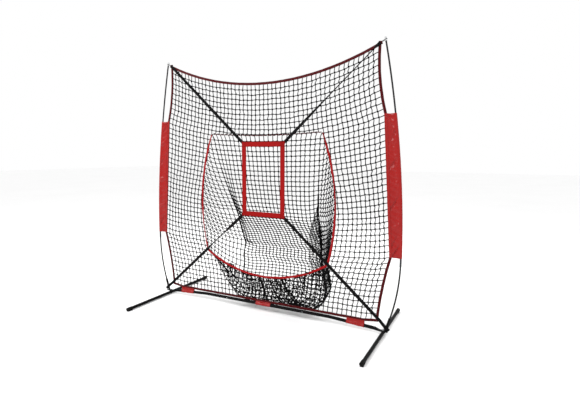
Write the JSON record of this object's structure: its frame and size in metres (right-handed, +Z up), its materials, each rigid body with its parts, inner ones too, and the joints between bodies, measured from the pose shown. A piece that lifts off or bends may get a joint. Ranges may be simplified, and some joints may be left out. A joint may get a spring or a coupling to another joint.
{
  "type": "pitching target net",
  "caption": "Free-standing practice net on a bow frame: mesh screen with a catch pocket behind a strike-zone rectangle held on webbing straps.",
  "frame": {"origin": "on the ground, midway between the two feet and under the plane of the net", "axes": "+X across the net to the right of someone facing its front, +Y from the front of the net to its back, +Z up"},
  "size_m": [2.275, 1.05, 2.1309],
  "materials": {
    "powder_coat": "black powder coat on steel tube",
    "rubber": "moulded black rubber",
    "zinc_steel": "zinc plated",
    "spring_steel": "bright spring strip",
    "nylon": "black nylon",
    "ferrule_steel": "black painted steel sleeve",
    "cap_plastic": "grey moulded plastic",
    "fibreglass": "pultruded black fibreglass",
    "elastic_cord": "braided black elastic cord",
    "net_twine": "knotted black twine",
    "red_binding": "woven dark red tape",
    "red_cloth": "coated red oxford cloth",
    "red_webbing": "red webbing",
    "black_webbing": "black polyester webbing"
  },
  "bodies": {
    "base_frame": {"bar_tab_left": "red_cloth", "bar_tab_middle": "red_cloth", "bar_tab_right": "red_cloth", "base_bar_left": "powder_coat", "base_bar_middle": "powder_coat", "base_bar_right": "powder_coat", "corner_loop_left": "elastic_cord", "corner_loop_right": "elastic_cord", "mouth_trim_bottom": "red_binding", "mouth_trim_left": "red_binding", "mouth_trim_right": "red_binding", "mouth_trim_top": "red_binding", "net_binding_bottom": "red_binding", "net_binding_left": "red_binding", "net_binding_right": "red_binding", "net_binding_top": "red_binding", "net_screen": "net_twine", "pivot_bolt_left": "zinc_steel", "pivot_bolt_right": "zinc_steel", "pivot_nut_left": "zinc_steel", "pivot_nut_right": "zinc_steel", "pivot_washer_left": "nylon", "pivot_washer_right": "nylon", "pocket_back": "net_twine", "pocket_front": "net_twine", "pocket_side_left": "net_twine", "pocket_side_right": "net_twine", "pole_cap_left": "cap_plastic", "pole_cap_right": "cap_plastic", "pole_ferrules_left": "ferrule_steel", "pole_ferrules_right": "ferrule_steel", "pole_lower_left": "fibreglass", "pole_lower_right": "fibreglass", "pole_middle_left": "fibreglass", "pole_middle_right": "fibreglass", "pole_sleeve_left": "red_cloth", "pole_sleeve_right": "red_cloth", "pole_socket_left": "powder_coat", "pole_socket_right": "powder_coat", "pole_upper_left": "fibreglass", "pole_upper_right": "fibreglass", "shock_cord_left": "elastic_cord", "shock_cord_right": "elastic_cord", "strap_lower_left": "black_webbing", "strap_lower_right": "black_webbing", "strap_upper_left": "black_webbing", "strap_upper_right": "black_webbing", "strike_zone_frame": "red_webbing"},
    "left_foot": {"foot_tube_left": "powder_coat", "foot_cap_front_left": "rubber", "foot_cap_rear_left": "rubber"},
    "right_foot": {"foot_tube_right": "powder_coat", "foot_cap_front_right": "rubber", "foot_cap_rear_right": "rubber"},
    "left_button": {"snap_button_left": "zinc_steel", "button_spring_left": "spring_steel"},
    "right_button": {"snap_button_right": "zinc_steel", "button_spring_right": "spring_steel"}
  },
  "joints": [
    {"name": "left_foot_swivel", "type": "hinge", "parent": "base_frame", "child": "left_foot", "pos_m": [-1.015, 0, 0.0167], "axis": [0, 0, -1], "range_deg": [0, 90]},
    {"name": "left_snap_button", "type": "slide", "parent": "base_frame", "child": "left_button", "axis": [0, 1, 0], "range_m": [0, 0.005], "stiffness_N_per_m": 1500, "springref_m": -0.003},
    {"name": "right_foot_swivel", "type": "hinge", "parent": "base_frame", "child": "right_foot", "pos_m": [1.015, 0, 0.0167], "axis": [0, 0, 1], "range_deg": [0, 90]},
    {"name": "right_snap_button", "type": "slide", "parent": "base_frame", "child": "right_button", "axis": [0, 1, 0], "range_m": [0, 0.005], "stiffness_N_per_m": 1500, "springref_m": -0.003}
  ]
}
